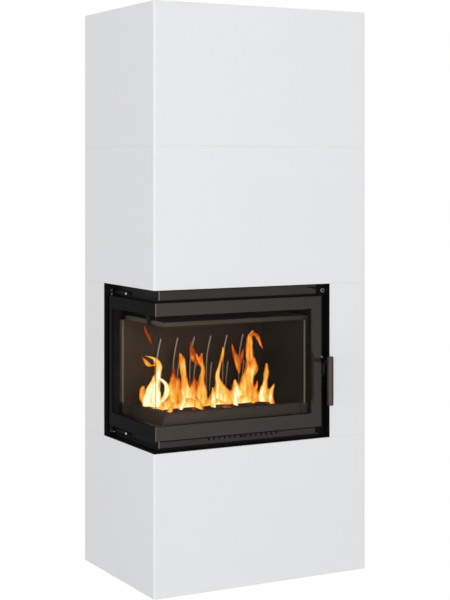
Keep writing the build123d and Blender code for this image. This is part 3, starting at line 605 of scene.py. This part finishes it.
class FIREPLACE_OT_insert(bpy.types.Operator):
    """Finish the bands, the levers, the bolts and the linings of the insert"""

    bl_idname = "fireplace.insert"
    bl_label = "Insert"

    def execute(self, context):
        paint(nodes_of("grey_steel"), band_finish())
        paint(nodes_of("bright_steel"), bright_finish())
        paint(["stile_bolt"], bolt_finish())
        paint(["hinge_pins"], painted_finish("worn_pin_steel", rgb(70, 68, 66), 0.4))
        satin = painted_finish("black_satin_paint", rgb(9, 9, 9), 0.4, gloss=0.25)
        paint(nodes_of("lever_steel"), satin)
        # The left colour is the lit tone and the right one the painted shade
        lining = lining_finish("fire_board_painted_light", left=rgb(80, 66, 53), right=rgb(26, 21, 16),
                               pale_tone=rgb(240, 222, 198))
        paint(nodes_of("fire_board"), lining)
        paint(nodes_of("seal_fibre"), rope_finish())
        return {"FINISHED"}


class FIREPLACE_OT_door(bpy.types.Operator):
    """Finish the door's frame, its panes with their printed borders, and the handle"""

    bl_idname = "fireplace.door"
    bl_label = "Door"

    def execute(self, context):
        chosen = settings().door
        cast = painted_finish("cast_frame_paint", rgb(14, 13, 12), 0.6, 900.0, gloss=0.15)
        paint(nodes_of("cast_frame"), cast)
        paint(nodes_of("grip_metal"), grip_finish())
        span = (DOOR_LOW + chosen.border_bottom, DOOR_HIGH - chosen.border_top)
        # The front print is lightened by a painted reflection; the side print is near black
        front_print_and_reflection = (rgb(58, 50, 43), rgb(42, 38, 34))
        side_inks = (rgb(10, 8, 6), rgb(7, 6, 5))
        front = glass_finish("front_pane_glass", "X", low("front_glass").x,
                             DOOR_RIGHT - chosen.border_end, span, front_print_and_reflection, 0.42)
        side = glass_finish("side_pane_glass", "Y", low("side_glass").y,
                            DOOR_REAR - chosen.border_end, span, side_inks, 0.02)
        paint(["front_glass"], front)
        paint(["side_glass"], side)
        return {"FINISHED"}


def split_log(name, start, end, radius, seed, material, body):
    """A split log: an uneven wedge of wood between two points, with rough bark."""
    axis = end - start
    length = axis.length
    turn = axis.to_track_quat("Z", "Y").to_matrix()
    sides = 20
    steps = 26

    def build(shape):
        rings = []
        for step in range(steps + 1):
            t = step / steps
            end_pull = 1 - 0.16 * (abs(2 * t - 1) ** 8)
            ring = []
            for side in range(sides):
                angle = 2 * math.pi * side / sides
                flat = 1 - 0.2 * max(0.0, math.cos(angle - 0.9 - seed)) ** 2
                across = math.cos(angle)
                back = math.sin(angle)
                rough = noise.noise(Vector((across * 1.6, back * 1.6, t * 6 + seed * 9)))
                chip = noise.noise(Vector((angle * 5, t * 22, seed * 3.0)))
                size = radius * (0.9 * flat * end_pull + 0.1 * rough + 0.035 * chip - 0.02)
                ring.append(start + turn @ Vector((across * size, back * size, t * length)))
            rings.append(ring)
        skin(shape, rings)

    return mesh_piece(name, build, body, material)


def smooth_run(points, steps):
    """Points along a smooth curve through the given ones, each a tuple of numbers."""
    run = []
    ends = [points[0], *points, points[-1]]
    for index in range(len(points) - 1):
        before, start, end, after = ends[index:index + 4]
        for step in range(steps):
            t = step / steps
            run.append(tuple(
                0.5 * (2 * b + (c - a) * t + (2 * a - 5 * b + 4 * c - d) * t ** 2
                       + (3 * b - a - 3 * c + d) * t ** 3)
                for a, b, c, d in zip(before, start, end, after)))
    run.append(points[-1])
    return run


def flame_tongue(name, depth, points, cool, seed, material):
    """One tongue of fire: a frayed lens that follows points of X, height and width in millimetres."""
    sides = 24
    broad = Vector((math.cos(FLAME_TURN), -math.sin(FLAME_TURN), 0))
    deep = Vector((math.sin(FLAME_TURN), math.cos(FLAME_TURN), 0))
    run = smooth_run(points, 9)
    foot = points[0][1]
    top = max(point[1] for point in points)

    def build(shape):
        layers = [shape.verts.layers.float.new(word) for word in ("heart", "rise", "cool")]
        rings = []
        facts = []
        for number, (x, z, width) in enumerate(run):
            share = number / (len(run) - 1)
            sway = noise.noise(Vector((z * 0.025, seed * 3.1, 0)))
            middle = at(x + sway * 5 * share, depth, z)
            half = max(width, 1.5) * MM / 2
            ring = []
            for side in range(sides):
                angle = 2 * math.pi * side / sides
                fray = noise.noise(Vector((math.cos(angle) * 1.3, z * 0.03, seed * 2.3)))
                fringe = noise.noise(Vector((math.cos(angle) * 2.1, z * 0.11, seed * 5.7)))
                reach = half * (1 + 0.26 * fray + 0.12 * fringe)
                ring.append(middle + broad * math.cos(angle) * reach * FLAME_SPREAD
                            + deep * math.sin(angle) * min(reach * 0.5, FLAME_DEPTH))
                heart = abs(math.sin(angle)) ** 1.3
                rise = max(0.0, (z - foot) / (top - foot)) * share
                facts.append((heart, rise, cool))
            rings.append(ring)
        skin(shape, rings)
        shape.verts.ensure_lookup_table()
        for vert, values in zip(shape.verts, facts):
            for layer, value in zip(layers, values):
                vert[layer] = value

    return mesh_piece(name, build, "fireplace", material)


class FIREPLACE_OT_logs(bpy.types.Operator):
    """Build the charred split logs in the place of the plain ones"""

    bl_idname = "fireplace.logs"
    bl_label = "Logs"

    def execute(self, context):
        material = char_finish()
        floor = HEARTH * 1000
        thick = 34
        lower = floor + thick - 4
        upper = floor + 2 * thick
        runs = [
            ("log_front", (128, 178, lower), (592, 184, lower - 4), thick),
            ("log_back", (184, 300, lower + 2), (604, 297, lower), thick + 3),
            ("log_cross_left", (262, 232, upper - 18), (312, 344, upper - 2), 20),
            ("log_cross_right", (530, 236, upper - 20), (470, 344, upper - 4), 20),
            ("log_small_left", (112, 200, floor + 17), (170, 318, floor + 20), 20),
        ]
        seed = settings().fire.seed
        for number, (name, start, end, radius) in enumerate(runs):
            log = split_log(name, at(*start), at(*end), radius * MM, seed + number, material, "fireplace")
            if number == 0:
                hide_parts("logs")
        return {"FINISHED"}


class FIREPLACE_OT_flames(bpy.types.Operator):
    """Build the tongues of fire over the logs"""

    bl_idname = "fireplace.flames"
    bl_label = "Flames"

    def execute(self, context):
        material = flame_finish()
        seed = settings().fire.seed
        for number, (name, (depth, cool, points)) in enumerate(FLAMES.items()):
            flame_tongue("flame_" + name, depth, points, cool, seed + number, material)
        return {"FINISHED"}


def screw_head(name, centre, direction, radius, height, body, material):
    """A domed screw head with a socket, facing a direction."""
    turn = Vector(direction).to_track_quat("Z", "Y").to_matrix()

    def build(shape):
        sides = 20
        dome = [(1.0, 0.0), (1.0, 0.55), (0.72, 0.85), (0.5, 1.0)]
        socket = [(0.42, 1.0), (0.4, 0.5)]
        built = []
        for share, rise in dome + socket:
            built.append([centre + turn @ Vector((
                math.cos(2 * math.pi * k / sides) * radius * share,
                math.sin(2 * math.pi * k / sides) * radius * share,
                rise * height)) for k in range(sides)])
        skin(shape, built)

    return mesh_piece(name, build, body, material, smooth=False)


def raised_plan(plan, low_z, high_z):
    """A builder for a flat piece: a plan outline in millimetres between two heights."""
    def build(shape):
        skin(shape, [[at(x, y, z) for x, y in plan] for z in (low_z, high_z)])
    return build


# Black strips stand in for shade: the one under the body follows the corner, the other sits in the joint
# right of the stile
SILL_STRIP = [(41, 41), (700, 41), (700, 46), (46, 46), (46, 450), (41, 450)]
STILE_STRIP = [(748.5, 44.3), (760.3, 44.3), (760.3, 45.8), (748.5, 45.8)]
STRIP_FOOT = 541
SILL_STRIP_TOP = 544.8
STILE_STRIP_TOP = 1129


class FIREPLACE_OT_fittings(bpy.types.Operator):
    """Add the small screws, and the black strips of painted shade that fill two joints"""

    bl_idname = "fireplace.fittings"
    bl_label = "Small fittings"

    def execute(self, context):
        steel = bright_finish()
        dark_screw = painted_finish("dark_screw_steel", rgb(52, 50, 48), 0.4)
        bracket = low("latch_bracket")
        bracket_high = high("latch_bracket")
        for index, z in enumerate((bracket_high.z - 0.011, bracket.z + 0.011)):
            centre = Vector((bracket.x + 0.003, bracket.y, z))
            # The lower screw gets the dark finish as painted shade, though both screws are the same steel
            finish = steel if index == 0 else dark_screw
            screw_head("bracket_screw_%d" % index, centre, (0, -1, 0), 0.0027, 0.0018, "door", finish)
        # Black strips put where there is only shade, as painted shade
        black = painted_finish("shade_strip", rgb(14, 14, 14), 0.8)
        lever_low = low("handle_lever").z / MM - 4
        lever_high = high("handle_lever").z / MM + 4
        for name, plan, foot, top in (("sill_strip", SILL_STRIP, STRIP_FOOT, SILL_STRIP_TOP),
                                      ("lower_stile_strip", STILE_STRIP, STRIP_FOOT, lever_low),
                                      ("upper_stile_strip", STILE_STRIP, lever_high, STILE_STRIP_TOP)):
            mesh_piece(name, raised_plan(plan, foot, top), "fireplace", black,
                       smooth=False)
        reveal = DOOR_REAR - settings().door.border_end
        for index, z in enumerate((772, 908)):
            centre = Vector((at(28, 0, 0).x, reveal, z * MM))
            screw_head("reveal_screw_%d" % index, centre, (0, -1, 0), 0.0032, 0.0016, "door", dark_screw)
        rail_back = high("rear_rails").y
        for side in (low("rear_rails").x + 0.014, high("rear_rails").x - 0.014):
            for z in (low("rear_rails").z + 0.015, high("rear_rails").z - 0.015):
                centre = Vector((side, rail_back, z))
                screw_head("rail_screw_%d_%d" % (side > 0, z > 1), centre, (0, 1, 0), 0.005, 0.0028,
                           "fireplace", steel)
        return {"FINISHED"}


def area_lamp(name, place, target, size, power):
    """A soft rectangular lamp that looks at a target."""
    data = bpy.data.lights.new(name, "AREA")
    data.shape = "RECTANGLE"
    data.size, data.size_y = size
    data.energy = power
    lamp = bpy.data.objects.new(name, data)
    lamp.location = place
    lamp.rotation_euler = (Vector(target) - Vector(place)).to_track_quat("-Z", "Y").to_euler()
    bpy.context.scene.collection.objects.link(lamp)


class FIREPLACE_OT_stage(bpy.types.Operator):
    """Set up the floor, the lamps, the pale surroundings and the camera"""

    bl_idname = "fireplace.stage"
    bl_label = "Stage"

    def execute(self, context):
        scene = bpy.context.scene
        scene.view_settings.view_transform = "Standard"
        self.make_floor()
        self.make_world(scene)
        self.make_camera(scene)
        middle = (0, 0, 1.0)
        area_lamp("key_lamp", (-2.6, -10.0, 1.1), middle, (4.0, 5.0), 392)
        area_lamp("side_lamp", (-9.5, -3.0, 1.1), middle, (4.0, 4.0), 180)
        return {"FINISHED"}

    def make_floor(self):
        mesh = bpy.data.meshes.new("floor")
        size = 30
        corners = [(-size, -size, 0), (size, -size, 0), (size, size, 0), (-size, size, 0)]
        mesh.from_pydata(corners, [], [(0, 1, 2, 3)])
        floor = bpy.data.objects.new("floor", mesh)
        bpy.context.scene.collection.objects.link(floor)
        s = Shader("pale_floor")
        rays = s.add("ShaderNodeLightPath", {}, {})
        soft = s.grain(2.0)
        tint = s.blend(soft, (0.84, 0.84, 0.84), (0.86, 0.86, 0.86))
        diffuse = s.add("ShaderNodeBsdfDiffuse", {}, {"Color": tint})
        white = s.add("ShaderNodeEmission", {}, {"Color": (1, 1, 1, 1), "Strength": 1.0})
        mixed = s.add("ShaderNodeMixShader", {}, {
            "Fac": rays["Is Camera Ray"], 1: diffuse["BSDF"], 2: white["Emission"]})
        s.add("ShaderNodeOutputMaterial", {}, {"Surface": mixed["Shader"]})
        mesh.materials.append(s.block)

    def make_world(self, scene):
        s = Shader("studio", "worlds")
        scene.world = s.block
        rays = s.add("ShaderNodeLightPath", {}, {})
        lit = s.add("ShaderNodeBackground", {}, {"Color": (1, 1, 1, 1), "Strength": 0.69})
        seen = s.add("ShaderNodeBackground", {}, {"Color": (1, 1, 1, 1), "Strength": 1.0})
        mix = s.add("ShaderNodeMixShader", {}, {
            0: rays["Is Camera Ray"], 1: lit["Background"], 2: seen["Background"]})
        s.add("ShaderNodeOutputWorld", {}, {"Surface": mix["Shader"]})

    def make_camera(self, scene):
        """The height sets the view; the sensor's width does not change it."""
        chosen = settings().stage
        data = bpy.data.cameras.new("camera")
        data.sensor_fit = "VERTICAL"
        data.sensor_height = 36
        data.sensor_width = 28
        data.lens = chosen.lens
        data.shift_y = -chosen.horizon
        data.clip_end = 100
        camera = bpy.data.objects.new("camera", data)
        camera.location = CORNER + Vector((chosen.eye_x, chosen.eye_y, chosen.eye_z))
        camera.rotation_euler = (math.pi / 2, 0, -chosen.turn)
        scene.collection.objects.link(camera)
        scene.camera = camera


class FIREPLACE_PT_panel(bpy.types.Panel):
    bl_idname = "FIREPLACE_PT_panel"
    bl_label = "Corner Fireplace"
    bl_space_type = "VIEW_3D"
    bl_region_type = "UI"
    bl_category = "Fireplace"

    def draw(self, context):
        for operator in STEPS:
            self.layout.operator(operator.bl_idname)


STEPS = (
    FIREPLACE_OT_surround,
    FIREPLACE_OT_insert,
    FIREPLACE_OT_door,
    FIREPLACE_OT_logs,
    FIREPLACE_OT_flames,
    FIREPLACE_OT_fittings,
    FIREPLACE_OT_stage,
)
CLASSES = (SurroundSettings, DoorSettings, FireSettings, StageSettings, FireplaceSettings,
           *STEPS, FIREPLACE_PT_panel)


def register():
    for cls in CLASSES:
        bpy.utils.register_class(cls)
    bpy.types.Scene.fireplace = PointerProperty(type=FireplaceSettings, name="Fireplace",
                                                description="Settings of the corner fireplace")


def unregister():
    del bpy.types.Scene.fireplace
    for cls in reversed(CLASSES):
        bpy.utils.unregister_class(cls)


def main():
    register()
    for operator in STEPS:
        group, action = operator.bl_idname.split(".")
        getattr(getattr(bpy.ops, group), action)()


if __name__ == "__main__":
    main()
